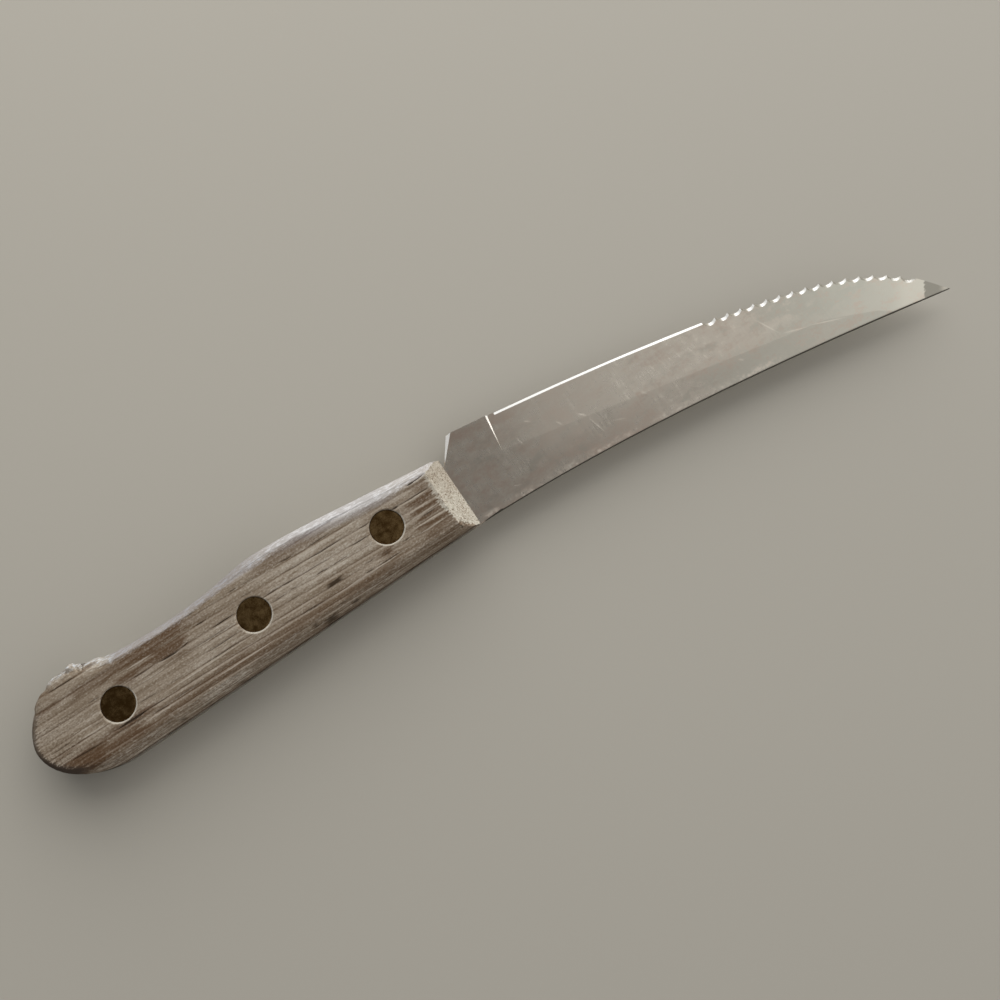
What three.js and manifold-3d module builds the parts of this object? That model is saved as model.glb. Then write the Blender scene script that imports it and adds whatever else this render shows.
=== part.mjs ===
import * as THREE from 'three';
import { mergeVertices } from 'three/addons/utils/BufferGeometryUtils.js';
import Module from 'manifold-3d';

// A serrated steak knife with a full tang, two wooden handle scales and three two-piece rivets.
// It is drawn lying on its side: x runs along the line of rivets from the front of the handle to the point,
// y from that line to the cutting edge, and z up from the face that the knife lies on.
// Sizes are in millimetres and angles in degrees.

// Stock
const bladeThickness = 1.6;
const scaleThickness = 6.3;

// Handle outline. Rises go from the rivet line to the edge side, drops to the spine side.
// Runs follow each other from the front of the handle to its butt.
const frontRise = 7.5;
const crestRun = 48;
const crestRise = 12.4;
const waistRun = 25;
const waistRise = 10.35;
const beakRun = 23;
const beakRise = 14;
const buttRun = 15;
const rearmostRise = 0.9;
const rearCornerRun = 17;
const rearDrop = 11.5;
const frontDrop = 10.55;

// How far each outline curve keeps its end directions, as a share of the stretch that it spans
const crestHold = 0.25;
const crestLeave = 0.3;
const waistArrive = 0.6;
const waistLeave = 0.89;
const beakArrive = 0.15;
const beakLeave = 0.5;
const rearmostArrive = 0.4;
const rearmostLeave = 0.55;
const rearCornerArrive = 0.55;

// Round-over of the scales' outer edges, and the slanted end grain at the front
const sideRoundWidth = 3.2;
const sideRoundHeight = 5.3;
const buttRoundWidth = 1.6;
const buttRoundHeight = 3.2;
const frontBevelRun = 4.7;

// Blade outline
const bladeLength = 126.1;
const tipDrop = 26.1;
const spineBendRun = 49;
const spineBendDrop = 11.4;
const notchRise = 5.1;
const heelRun = 4.7;
const heelRise = 11.65;
const serrationStartRun = 71.3;
const serrationStartRise = 0.5;
const plainEdgeBow = 0.7;
const bellyHold = 0.78;
const tipHold = 0.18;
const tipAngle = 50;

// Blade grinds
const plungeFromHeel = 10.4;
const grindWidth = 9.3;
const edgeThickness = 0.5;
const sharpenedFromPlunge = 2.2;
const bevelAngle = 36;
const edgeLand = 0.08;
const heelFacetWidth = 1.4;
const heelFacetDepth = 1.1;

// Serrations
const scallopPitch = 3.365;
const scallopRadius = 3.1;
const scallopDepth = 0.8;
const scallopAngle = 36;
const plainTipLength = 6.2;

// Rivets
const frontRivetInset = 18.7;
const rearRivetInset = 21.2;
const headDiameter = 7.94;
const headHeight = 2.2;
const headRecess = 0.2;
const tubeDiameter = 4.76;
const pinDiameter = 3.2;
const headClearance = 0.1;
const tubeClearance = 0.1;
const pinClearance = 0.08;
const boreFloor = 0.8;
const endClearance = 0.3;

// Smoothness of the faceted solids
const outlineSegments = 14;
const roundSegments = 5;
const lathedSegments = 32;
const grindSegments = 36;
const scallopSegments = 28;

// How far cutters reach past what they cut, and how near two points of a mesh count as one
const overcut = 1;
const mergeDistance = 1e-5;

// Levels and places that follow from the sizes
const tangBottom = scaleThickness;
const tangTop = scaleThickness + bladeThickness;
const tangMiddle = scaleThickness + bladeThickness / 2;
const handleThickness = 2 * scaleThickness + bladeThickness;
const crestX = -crestRun;
const waistX = crestX - waistRun;
const beakX = waistX - beakRun;
const buttX = beakX - buttRun;
const rearCornerX = buttX + rearCornerRun;
const frontRivetX = -frontRivetInset;
const rearRivetX = buttX + rearRivetInset;
const counterboreDepth = headRecess + headHeight;
const handleWidth = Math.max(crestRise, beakRise) + Math.max(frontDrop, rearDrop);

const wood = new THREE.MeshStandardMaterial({ color: 0xb3a792, roughness: 0.9, metalness: 0 });
const steel = new THREE.MeshStandardMaterial({ color: 0x9a958e, roughness: 0.38, metalness: 1 });
const brass = new THREE.MeshStandardMaterial({ color: 0x55421f, roughness: 0.55, metalness: 0.9 });

const wasm = await Module();
wasm.setup();

// Closed meshes to solids and back

function toSolid(geometry) {
  const bare = geometry.clone();
  bare.deleteAttribute('normal');
  bare.deleteAttribute('uv');
  const merged = mergeVertices(bare, mergeDistance);
  const triVerts = [];
  for (let i = 0; i < merged.index.count; i += 3) {
    const [a, b, c] = [0, 1, 2].map((k) => merged.index.getX(i + k));
    if (a !== b && b !== c && c !== a) triVerts.push(a, b, c);
  }
  return new wasm.Manifold(new wasm.Mesh({
    numProp: 3,
    vertProperties: new Float32Array(merged.attributes.position.array),
    triVerts: new Uint32Array(triVerts),
  }));
}

function toGeometry(solid) {
  const mesh = solid.getMesh();
  const geometry = new THREE.BufferGeometry();
  geometry.setAttribute('position', new THREE.BufferAttribute(mesh.vertProperties, 3));
  geometry.setIndex(new THREE.BufferAttribute(mesh.triVerts, 1));
  geometry.computeVertexNormals();
  return geometry;
}

function indexed(points, triangles) {
  const geometry = new THREE.BufferGeometry().setFromPoints(points);
  geometry.setIndex(triangles.flat());
  return geometry;
}

function mirroredInZ(geometry) {
  const mirrored = geometry.clone().scale(1, 1, -1);
  mirrored.index.array.reverse();
  mirrored.computeVertexNormals();
  return mirrored;
}

// A closed solid through matching sections, each a convex ring that turns left seen from the next one
function loft(sections) {
  const ring = sections[0].length;
  const last = (sections.length - 1) * ring;
  const triangles = [];
  for (let row = 0; row < sections.length - 1; row++) {
    for (let k = 0; k < ring; k++) {
      const a = row * ring + k;
      const b = row * ring + (k + 1) % ring;
      triangles.push([a, b, b + ring], [a, b + ring, a + ring]);
    }
  }
  for (let k = 1; k < ring - 1; k++) {
    triangles.push([0, k + 1, k], [last, last + k, last + k + 1]);
  }
  return indexed(sections.flat(), triangles);
}

function lathed(profile) {
  const points = profile.map(([radius, height]) => new THREE.Vector2(radius, height));
  return new THREE.LatheGeometry(points, lathedSegments).rotateX(Math.PI / 2);
}

// Outlines

function traceHandle(path) {
  const straightStart = 1 / 3;
  path.bezierCurveTo(
    crestX * straightStart, THREE.MathUtils.lerp(frontRise, crestRise, straightStart),
    crestX + crestRun * crestHold, crestRise,
    crestX, crestRise,
  );
  path.bezierCurveTo(
    crestX - waistRun * crestLeave, crestRise,
    waistX + waistRun * waistArrive, waistRise,
    waistX, waistRise,
  );
  path.bezierCurveTo(
    waistX - beakRun * waistLeave, waistRise,
    beakX + beakRun * beakArrive, beakRise,
    beakX, beakRise,
  );
  path.bezierCurveTo(
    beakX - buttRun * beakLeave, beakRise,
    buttX, THREE.MathUtils.lerp(rearmostRise, beakRise, rearmostArrive),
    buttX, rearmostRise,
  );
  path.bezierCurveTo(
    buttX, THREE.MathUtils.lerp(rearmostRise, -rearDrop, rearmostLeave),
    rearCornerX - rearCornerRun * rearCornerArrive, -rearDrop,
    rearCornerX, -rearDrop,
  );
  path.lineTo(0, -frontDrop);
}

const heel = new THREE.Vector2(heelRun, heelRise);
const serrationStart = new THREE.Vector2(serrationStartRun, serrationStartRise);
const tip = new THREE.Vector2(bladeLength, -tipDrop);

function makeCuttingEdge() {
  const chord = serrationStart.clone().sub(heel);
  const outward = new THREE.Vector2(-chord.y, chord.x).normalize();
  // A quadratic curve bows half as far as its control point stands off
  const standOff = heel.clone().lerp(serrationStart, 0.5).addScaledVector(outward, 2 * plainEdgeBow);
  const plain = new THREE.QuadraticBezierCurve(heel, standOff, serrationStart);
  const bellyChord = serrationStart.distanceTo(tip);
  const ahead = serrationStart.clone().addScaledVector(plain.getTangent(1), bellyHold * bellyChord);
  const lean = THREE.MathUtils.degToRad(tipAngle);
  const tipDirection = new THREE.Vector2(Math.cos(lean), -Math.sin(lean));
  const behind = tip.clone().addScaledVector(tipDirection, -tipHold * bellyChord);
  const belly = new THREE.CubicBezierCurve(serrationStart, ahead, behind, tip);
  return { plain, belly };
}

const { plain, belly } = makeCuttingEdge();

// Point of the cutting edge at a distance along it from the heel, with its inward direction.
// Past the tip it goes on straight.
function edgeStation(distance) {
  const plainLength = plain.getLength();
  const bellyLength = belly.getLength();
  const onPlain = distance < plainLength;
  const curve = onPlain ? plain : belly;
  const along = onPlain ? distance / plainLength : (distance - plainLength) / bellyLength;
  const share = Math.min(along, 1);
  const tangent = curve.getTangentAt(share);
  const past = Math.max(0, distance - plainLength - bellyLength);
  const point = curve.getPointAt(share).addScaledVector(tangent, past);
  return { point, tangent, inward: new THREE.Vector2(tangent.y, -tangent.x) };
}

// Wooden scales, drawn with the inner face at z = 0 and the outer face up

function inwardNormals(ring) {
  return ring.map((point, i) => {
    const before = ring[(i + ring.length - 1) % ring.length];
    const after = ring[(i + 1) % ring.length];
    const along = after.clone().sub(before).normalize();
    return new THREE.Vector2(-along.y, along.x);
  });
}

// The slab runs past the front of the handle, where the bevel is then cut
const frontOverrun = 2 * sideRoundWidth;

function roundedSlab() {
  const outline = new THREE.Shape();
  outline.moveTo(frontOverrun, frontRise);
  outline.lineTo(0, frontRise);
  traceHandle(outline);
  outline.lineTo(frontOverrun, -frontDrop);
  const ring = outline.getPoints(outlineSegments);
  const normals = inwardNormals(ring);
  const points = ring.map((p) => new THREE.Vector3(p.x, p.y, 0));
  for (let step = 0; step <= roundSegments; step++) {
    const turn = (step / roundSegments) * Math.PI / 2;
    ring.forEach((p, i) => {
      const toButt = THREE.MathUtils.smoothstep(beakX - p.x, 0, buttRun);
      const width = THREE.MathUtils.lerp(sideRoundWidth, buttRoundWidth, toButt);
      const height = THREE.MathUtils.lerp(sideRoundHeight, buttRoundHeight, toButt);
      const inset = p.clone().addScaledVector(normals[i], width * (1 - Math.cos(turn)));
      points.push(new THREE.Vector3(inset.x, inset.y, scaleThickness - height * (1 - Math.sin(turn))));
    });
  }
  const count = ring.length;
  const triangles = [];
  for (let row = 0; row <= roundSegments; row++) {
    for (let i = 0; i < count; i++) {
      const a = row * count + i;
      const b = row * count + (i + 1) % count;
      triangles.push([a, b, b + count], [a, b + count, a + count]);
    }
  }
  const top = (roundSegments + 1) * count;
  const topRing = points.slice(top).map((p) => new THREE.Vector2(p.x, p.y));
  for (const [a, b, c] of THREE.ShapeUtils.triangulateShape(ring, [])) triangles.push([c, b, a]);
  for (const [a, b, c] of THREE.ShapeUtils.triangulateShape(topRing, [])) {
    triangles.push([a + top, b + top, c + top]);
  }
  return indexed(points, triangles);
}

function frontBevelCutter() {
  const lean = frontBevelRun / scaleThickness;
  const far = frontOverrun + overcut;
  const section = (y) => [
    new THREE.Vector3(lean * overcut, y, -overcut),
    new THREE.Vector3(far, y, -overcut),
    new THREE.Vector3(far, y, scaleThickness + overcut),
    new THREE.Vector3(-frontBevelRun - lean * overcut, y, scaleThickness + overcut),
  ];
  return loft([section(handleWidth), section(-handleWidth)]);
}

const rivetPlaces = [
  ['front', frontRivetX],
  ['middle', (frontRivetX + rearRivetX) / 2],
  ['rear', rearRivetX],
];

function makeScale() {
  const drill = lathed([
    [0, -overcut],
    [tubeDiameter / 2 + tubeClearance, -overcut],
    [tubeDiameter / 2 + tubeClearance, scaleThickness - counterboreDepth],
    [headDiameter / 2 + headClearance, scaleThickness - counterboreDepth],
    [headDiameter / 2 + headClearance, scaleThickness + overcut],
    [0, scaleThickness + overcut],
  ]);
  let solid = toSolid(roundedSlab()).subtract(toSolid(frontBevelCutter()));
  for (const [, x] of rivetPlaces) solid = solid.subtract(toSolid(drill.clone().translate(x, 0, 0)));
  return toGeometry(solid);
}

// Blade with its tang

function steelBlank() {
  const outline = new THREE.Shape();
  outline.moveTo(0, frontRise);
  traceHandle(outline);
  outline.quadraticCurveTo(spineBendRun, -spineBendDrop, tip.x, tip.y);
  outline.bezierCurveTo(belly.v2.x, belly.v2.y, belly.v1.x, belly.v1.y, serrationStart.x, serrationStart.y);
  outline.quadraticCurveTo(plain.v1.x, plain.v1.y, heel.x, heel.y);
  outline.lineTo(0, notchRise);
  for (const [, x] of rivetPlaces) {
    const hole = new THREE.Path();
    hole.absarc(x, 0, tubeDiameter / 2 + tubeClearance, 0, 2 * Math.PI, true);
    outline.holes.push(hole);
  }
  const options = { depth: bladeThickness, bevelEnabled: false, curveSegments: outlineSegments };
  return new THREE.ExtrudeGeometry(outline, options).translate(0, 0, tangBottom);
}

// Sweeps a section along the cutting edge. The section is given as inward distance and height.
function sweptAlongEdge(section, from, to) {
  const sections = [];
  for (let step = 0; step <= grindSegments; step++) {
    const { point, inward } = edgeStation(THREE.MathUtils.lerp(from, to, step / grindSegments));
    sections.push(section.map(([inset, z]) => (
      new THREE.Vector3(point.x + inward.x * inset, point.y + inward.y * inset, z)
    )));
  }
  return loft(sections);
}

// One side of the primary grind. The lower side is the mirror of the upper one.
function grindCutter(from, to) {
  const slope = (bladeThickness - edgeThickness) / 2 / grindWidth;
  const half = bladeThickness / 2;
  return sweptAlongEdge([
    [grindWidth, half],
    [-overcut, half - slope * (grindWidth + overcut)],
    [-overcut, half + overcut],
    [grindWidth, half + overcut],
  ], from, to);
}

function bevelCutter(from, to) {
  const slope = Math.tan(THREE.MathUtils.degToRad(bevelAngle));
  const edgeHeight = tangMiddle - edgeThickness / 2 + edgeLand;
  const reach = (edgeThickness + overcut) / slope;
  const roof = edgeHeight + edgeThickness + 2 * overcut;
  return sweptAlongEdge([
    [reach, edgeHeight + slope * reach],
    [-overcut, edgeHeight - slope * overcut],
    [-overcut, roof],
    [reach, roof],
  ], from, to);
}

// The facet on the heel starts at nothing at the handle and widens to the heel's corner and past it
function heelFacetCutter() {
  const pastCorner = 1.5;
  const start = new THREE.Vector3(0, notchRise, tangTop);
  const upper = new THREE.Vector3(heelRun + heelFacetWidth, heelRise, tangTop).sub(start);
  const lower = new THREE.Vector3(heelRun, heelRise, tangTop - heelFacetDepth).sub(start);
  const outer = lower.clone().sub(upper).add(lower);
  const base = [
    start,
    start.clone().addScaledVector(upper, pastCorner),
    start.clone().addScaledVector(outer, pastCorner),
  ];
  const lift = new THREE.Vector3(0, 0, bladeThickness);
  return loft([base, base.map((p) => p.clone().add(lift))]);
}

// A round cutter whose lowest line runs up and inwards from the lower side of the edge
function scallopCutter(distance) {
  const { point, tangent, inward } = edgeStation(distance);
  const rise = THREE.MathUtils.degToRad(scallopAngle);
  const axis = new THREE.Vector3(inward.x * Math.cos(rise), inward.y * Math.cos(rise), Math.sin(rise));
  const across = new THREE.Vector3(tangent.x, tangent.y, 0);
  const up = across.clone().cross(axis).multiplyScalar(-1);
  const foot = new THREE.Vector3(
    point.x + inward.x * scallopDepth,
    point.y + inward.y * scallopDepth,
    tangMiddle - edgeThickness / 2,
  );
  const centre = foot.addScaledVector(up, scallopRadius);
  const place = new THREE.Matrix4().makeBasis(across, axis, up.clone().negate()).setPosition(centre);
  const throughBlade = 2 * (bladeThickness / Math.sin(rise) + overcut);
  const cutter = new THREE.CylinderGeometry(scallopRadius, scallopRadius, throughBlade, scallopSegments);
  return cutter.applyMatrix4(place);
}

function makeBlade() {
  const plainLength = plain.getLength();
  const wholeLength = plainLength + belly.getLength();
  const sharpenedFrom = plungeFromHeel + sharpenedFromPlunge;
  const grind = grindCutter(plungeFromHeel, wholeLength + grindWidth);
  const scallopCount = Math.floor((wholeLength - plainLength - plainTipLength) / scallopPitch);
  let solid = toSolid(steelBlank())
    .subtract(toSolid(grind.clone().translate(0, 0, tangMiddle)))
    .subtract(toSolid(mirroredInZ(grind).translate(0, 0, tangMiddle)))
    .subtract(toSolid(bevelCutter(sharpenedFrom, plainLength)))
    .subtract(toSolid(heelFacetCutter()));
  for (let i = 0; i < scallopCount; i++) {
    solid = solid.subtract(toSolid(scallopCutter(plainLength + scallopPitch * (i + 0.5))));
  }
  return toGeometry(solid);
}

// Two-piece rivets: the socket's head sits in the lower scale, and the post is pressed in from above

function makeSocket() {
  const seat = counterboreDepth;
  const tubeEnd = handleThickness - counterboreDepth - endClearance;
  const floor = headRecess + boreFloor;
  return lathed([
    [0, headRecess],
    [headDiameter / 2, headRecess],
    [headDiameter / 2, seat],
    [tubeDiameter / 2, seat],
    [tubeDiameter / 2, tubeEnd],
    [pinDiameter / 2 + pinClearance, tubeEnd],
    [pinDiameter / 2 + pinClearance, floor],
    [0, floor],
  ]);
}

function makePost() {
  const pinEnd = headRecess + boreFloor + endClearance;
  const seat = handleThickness - counterboreDepth;
  const face = handleThickness - headRecess;
  return lathed([
    [0, pinEnd],
    [pinDiameter / 2, pinEnd],
    [pinDiameter / 2, seat],
    [headDiameter / 2, seat],
    [headDiameter / 2, face],
    [0, face],
  ]);
}

function piece(name, geometry, material) {
  const mesh = new THREE.Mesh(geometry, material);
  mesh.name = name;
  return mesh;
}

function makeKnife() {
  const parts = new THREE.Group();
  parts.add(piece('blade_with_tang', makeBlade(), steel));

  const scale = makeScale();
  const upperScale = piece('upper_scale', scale, wood);
  upperScale.position.z = tangTop;
  const lowerScale = piece('lower_scale', mirroredInZ(scale), wood);
  lowerScale.position.z = tangBottom;
  parts.add(upperScale, lowerScale);

  const socket = toGeometry(toSolid(makeSocket()));
  const post = toGeometry(toSolid(makePost()));
  for (const [place, x] of rivetPlaces) {
    const rivetSocket = piece(`${place}_rivet_socket`, socket, brass);
    const rivetPost = piece(`${place}_rivet_post`, post, brass);
    rivetSocket.position.x = x;
    rivetPost.position.x = x;
    parts.add(rivetSocket, rivetPost);
  }

  // The knife's own origin is under the middle of its outline, on the surface that it lies on
  const middle = new THREE.Box3().setFromObject(parts).getCenter(new THREE.Vector3());
  parts.position.set(-middle.x, -middle.y, 0);
  const knife = new THREE.Group();
  knife.add(parts);
  return knife;
}

export default makeKnife();
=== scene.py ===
"""A weathered steak knife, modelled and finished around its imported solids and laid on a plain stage."""

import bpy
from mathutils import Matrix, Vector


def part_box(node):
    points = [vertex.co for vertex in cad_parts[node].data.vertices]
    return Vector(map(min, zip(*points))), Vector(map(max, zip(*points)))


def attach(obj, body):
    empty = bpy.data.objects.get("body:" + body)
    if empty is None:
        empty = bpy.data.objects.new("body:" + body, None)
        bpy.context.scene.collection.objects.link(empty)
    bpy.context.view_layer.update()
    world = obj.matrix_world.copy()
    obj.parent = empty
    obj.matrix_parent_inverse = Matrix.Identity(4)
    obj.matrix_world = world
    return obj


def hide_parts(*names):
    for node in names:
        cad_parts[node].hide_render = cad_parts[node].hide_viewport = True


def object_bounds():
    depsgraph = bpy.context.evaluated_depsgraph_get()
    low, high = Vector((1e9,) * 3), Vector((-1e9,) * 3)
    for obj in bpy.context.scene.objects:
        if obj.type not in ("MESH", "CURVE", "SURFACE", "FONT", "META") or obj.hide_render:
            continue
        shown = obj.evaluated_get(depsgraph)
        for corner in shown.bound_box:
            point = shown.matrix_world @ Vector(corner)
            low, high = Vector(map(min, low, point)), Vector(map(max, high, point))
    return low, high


bl_info = {
    "name": "Weathered steak knife",
    "version": (1, 0, 0),
    "blender": (4, 5, 0),
    "location": "View3D > Sidebar > Knife",
    "description": "Carves the wooden scales, finishes the blade, turns the rivets and sets the stage",
    "category": "Object",
}

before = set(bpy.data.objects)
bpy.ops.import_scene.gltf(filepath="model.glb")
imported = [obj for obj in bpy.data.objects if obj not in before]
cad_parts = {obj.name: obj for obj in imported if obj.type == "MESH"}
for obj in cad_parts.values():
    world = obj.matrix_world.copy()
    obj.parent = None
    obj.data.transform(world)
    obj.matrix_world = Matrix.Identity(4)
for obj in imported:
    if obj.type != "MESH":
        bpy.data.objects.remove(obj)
cad_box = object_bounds()

import math
from collections import namedtuple
from contextlib import contextmanager

import bpy
from bpy.props import FloatProperty, FloatVectorProperty, PointerProperty

MM = 0.001
MERGE_DISTANCE = 0.001 * MM


# Settings

def shade(red, green, blue):
    """Scene colour of a shade as the eye sees it, each part from 0 to 255."""
    def linear(level):
        part = level / 255
        return part / 12.92 if part <= 0.04045 else ((part + 0.055) / 1.055) ** 2.4
    return linear(red), linear(green), linear(blue)


def number(name, description, default, **kind):
    return FloatProperty(name=name, description=description, default=default, **kind)


def length(name, description, millimetres):
    return number(name, description, millimetres * MM, unit="LENGTH", precision=5)


def share(name, description, default):
    return number(name, description, default, min=0, max=1, subtype="FACTOR")


def colour(name, description, *levels):
    return FloatVectorProperty(
        name=name, description=description, default=shade(*levels), subtype="COLOR", size=3, min=0, max=1)


def spot(name, description, *millimetres):
    return FloatVectorProperty(
        name=name, description=description, default=[part * MM for part in millimetres],
        subtype="TRANSLATION", unit="LENGTH", size=3)


class KnifeWoodSettings(bpy.types.PropertyGroup):
    """Sizes and shades of the weathered scales."""
    # White also serves as painted highlight on the edge side, which faces the lamp
    white: colour("White", "Sun-bleached fuzz along the edge side", 210, 208, 207)
    bleached: colour("Bleached", "Pale raised grain", 178, 168, 154)
    beige: colour("Beige", "Plain weathered wood", 128, 114, 97)
    brown: colour("Brown", "Patches that kept their old colour", 82, 60, 40)
    greyed: colour("Greyed", "Grey frost on the waist's edge side", 163, 161, 163)
    chalk: colour("Chalk", "White frost on the beak", 201, 206, 209)
    # Soot also paints the shade in the joint beside the tang
    soot: colour("Soot", "Dirt in cracks and stains", 54, 41, 28)
    cream: colour("Cream", "End grain of the front bevel", 168, 162, 148)
    pale_cream: colour("Pale cream", "Light flecks", 193, 186, 172)
    # Butt also paints the shade on the butt's end, which turns away from the light
    butt: colour("Butt", "Dirty end grain of the butt", 66, 55, 46)
    groove_depth: length("Groove depth", "How deep the soft wood has worn along growth lines", 0.09)
    swell_depth: length("Swell depth", "How deep the valleys between growth bands have worn", 0.03)
    edge_fuzz: length("Edge fuzz", "How far the edge side has swollen", 0.2)
    shrinkage: length("Shrinkage", "How far the wood has drawn back beside the tang", 0.3)
    hollow_depth: length("Hollow depth", "How deep broad hollows have worn", 0.1)
    fuzz_depth: length("Fuzz depth", "How far single fibres stand up", 0.03)
    skin: length("Skin", "Wood that has weathered away all over", 0.02)
    across_step: length("Step across", "Spacing of the mesh across the grain", 0.11)
    along_step: length("Step along", "Spacing of the mesh along the grain", 0.85)


class KnifeSteelSettings(bpy.types.PropertyGroup):
    """Shades and finish of the blade."""
    satin: colour("Satin", "Flat and primary grind", 217, 207, 192)
    # Ground also paints highlights on cut faces turned away from the point and on faces turned toward the
    # handle
    ground: colour("Ground", "Freshly cut bevel and scallops", 245, 244, 240)
    smudge: colour("Smudge", "Film of dried water and rust", 208, 187, 170)
    dulled: colour("Dulled", "Grey patches without shine", 192, 191, 178)
    pale: colour("Pale", "Clean steel toward the point", 203, 201, 188)
    rubbed: colour("Rubbed", "Scratches and rubbed places", 237, 228, 212)
    burnt: colour("Burnt", "Dark patch at the point", 152, 148, 137)
    film: colour("Film", "Brownish film near the handle", 187, 163, 146)
    tarnish: colour("Tarnish", "Dull steel of the tang", 112, 107, 97)
    # Scale is painted shade on the spine's face, which turns away from the lamp
    scale: colour("Scale", "Dark skin left on the spine", 88, 84, 76)
    satin_roughness: share("Satin roughness", "Roughness of the flats", 0.3)
    ground_roughness: share("Ground roughness", "Roughness of bevel and scallops", 0.22)
    dull_roughness: share("Dull roughness", "Roughness of the spine and the ends of the grinds", 0.5)
    spine_round: length("Spine round", "Rounding of the spine's corners", 0.35)
    plunge_run: length("Plunge run", "How far the end of the grind slopes at the edge", 0.5)


class KnifeRivetSettings(bpy.types.PropertyGroup):
    """Sizes and shades of the rivets and their bores."""
    patina: colour("Patina", "Thin film on the heads", 138, 113, 76)
    # Deep also paints the darker reflection on the rear rivet
    deep: colour("Deep patina", "Thick film on the heads", 80, 58, 30)
    head_height: length("Head height", "Thickness of a rivet head", 2.2)
    tube_diameter: length("Tube diameter", "Outside of the hollow half", 4.76)
    pin_diameter: length("Pin diameter", "Solid half below its head", 3.2)
    pin_clearance: length("Pin clearance", "Gap between pin and tube", 0.08)
    bore_clearance: length("Bore clearance", "Gap between rivet and wood", 0.03)
    bore_floor: length("Bore floor", "Metal left under the hollow half's bore", 0.8)
    rim: length("Rim", "Chamfer round a head", 0.18)
    crown: length("Crown", "How far a head rises to its middle", 0.06)
    lip: length("Lip", "Worn edge of the wood round a head", 0.3)


class KnifeStageSettings(bpy.types.PropertyGroup):
    """Floor, light and camera."""
    floor: colour("Floor", "Plain pale floor", 174, 169, 158)
    floor_size: number("Floor size", "Side of the floor", 6, unit="LENGTH")
    camera_place: spot("Camera place", "Where the camera stands", -23.284, -35.821, 262.26)
    camera_tilt: number("Camera tilt", "Lean from straight down", math.radians(9), unit="ROTATION")
    camera_turn: number("Camera turn", "Turn about the vertical", math.radians(-33.9), unit="ROTATION")
    focal_length: number("Focal length", "Lens of the camera", 39.6, unit="CAMERA")
    lamp_place: spot("Lamp place", "Where the soft lamp hangs, on the edge side", 220, 470, 380)
    lamp_size: number("Lamp size", "Side of the soft lamp", 0.85, unit="LENGTH")
    lamp_power: number("Lamp power", "Strength of the soft lamp", 3.75, unit="POWER")
    sky_dim: number("Dim sky", "Light from behind the butt", 0.1)
    sky_rise: number("Sky rise", "How fast the sky brightens toward the point", 1.85)
    sky_fill: number("Sky fill", "Light added low on the spine side", 0.35)
    sky_rim: number("Sky rim", "Light added low on the edge side", 0.45)


# Node trees written like formulas

class Nodes:
    """Adds nodes to one tree."""

    def __init__(self, tree):
        self.tree = tree

    def feed(self, socket, value):
        if isinstance(value, Output):
            self.tree.links.new(value.socket, socket)
        else:
            socket.default_value = value

    def add(self, kind, feeds=None, out=0, **settings):
        node = self.tree.nodes.new(kind)
        for name, value in settings.items():
            setattr(node, name, value)
        for key, value in (feeds or {}).items():
            self.feed(node.inputs[key], value)
        return Output(self, node.outputs[out])

    def feed_shader(self, shader, feeds):
        """Feeds a shader. A plain number or colour is set on the shader's own socket."""
        for name, value in feeds.items():
            self.feed(self.tree.nodes[shader].inputs[name], value)


class Output:
    """A node's output. What is worked out from it is a further node's output."""

    def __init__(self, nodes, socket):
        self.nodes = nodes
        self.socket = socket

    def beside(self, out):
        """Another output of the same node."""
        return Output(self.nodes, self.socket.node.outputs[out])

    def math(self, operation, other=0.0):
        return self.nodes.add("ShaderNodeMath", {0: self, 1: other}, operation=operation)

    def __add__(self, other):
        return self.math("ADD", other)

    __radd__ = __add__

    def __sub__(self, other):
        return self.math("SUBTRACT", other)

    def __rsub__(self, other):
        return self.nodes.add("ShaderNodeMath", {0: other, 1: self}, operation="SUBTRACT")

    def __mul__(self, other):
        return self.math("MULTIPLY", other)

    def __abs__(self):
        return self.math("ABSOLUTE")

    def line(self, start, end, to_start, to_end):
        """Goes evenly from to_start at start to to_end at end, and on beyond them."""
        feeds = {"Value": self, "From Min": start, "From Max": end, "To Min": to_start, "To Max": to_end}
        return self.nodes.add("ShaderNodeMapRange", feeds, clamp=False)

    def between(self, first, second):
        """Goes from first at 0 to second at 1."""
        return self.line(0.0, 1.0, first, second)

    def fade(self, start, end):
        """Goes smoothly from 0 at start to 1 at end."""
        feeds = {"Value": self, "From Min": start, "From Max": end}
        return self.nodes.add("ShaderNodeMapRange", feeds, interpolation_type="SMOOTHSTEP")

    def vector_math(self, operation, other=(0.0, 0.0, 0.0), out="Vector"):
        return self.nodes.add("ShaderNodeVectorMath", {0: self, 1: other}, out=out, operation=operation)

    def scaled(self, factor):
        return self.nodes.add("ShaderNodeVectorMath", {0: self, "Scale": factor}, operation="SCALE")

    def parts(self):
        """The vector's x, y and z."""
        x = self.nodes.add("ShaderNodeSeparateXYZ", {0: self})
        return x, x.beside(1), x.beside(2)

    def noise(self, sizes, seed, detail=2.0, roughness=0.5):
        """Clouds whose lumps have these sizes along each axis."""
        rates = [1 / size for size in sizes]
        feeds = {0: self, 1: rates, 2: (seed, seed, seed)}
        moved = self.nodes.add("ShaderNodeVectorMath", feeds, operation="MULTIPLY_ADD")
        feeds = {"Vector": moved, "Scale": 1.0, "Detail": detail, "Roughness": roughness}
        return self.nodes.add("ShaderNodeTexNoise", feeds)

    def mixed(self, first, second):
        """Colour that goes from first at 0 to second at 1."""
        def opaque(tint):
            return tint if isinstance(tint, Output) else (*tint, 1.0)
        feeds = {0: self, 6: opaque(first), 7: opaque(second)}
        return self.nodes.add("ShaderNodeMix", feeds, out=2, data_type="RGBA")

    def bump(self, strength, height):
        """Normal of a surface with this relief, whose height is in millimetres."""
        feeds = {"Height": self, "Strength": strength, "Distance": height * MM}
        return self.nodes.add("ShaderNodeBump", feeds)


def largest(first, *others):
    """Largest of an output and others, which may be plain numbers."""
    for other in others:
        first = first.math("MAXIMUM", other)
    return first


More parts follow.
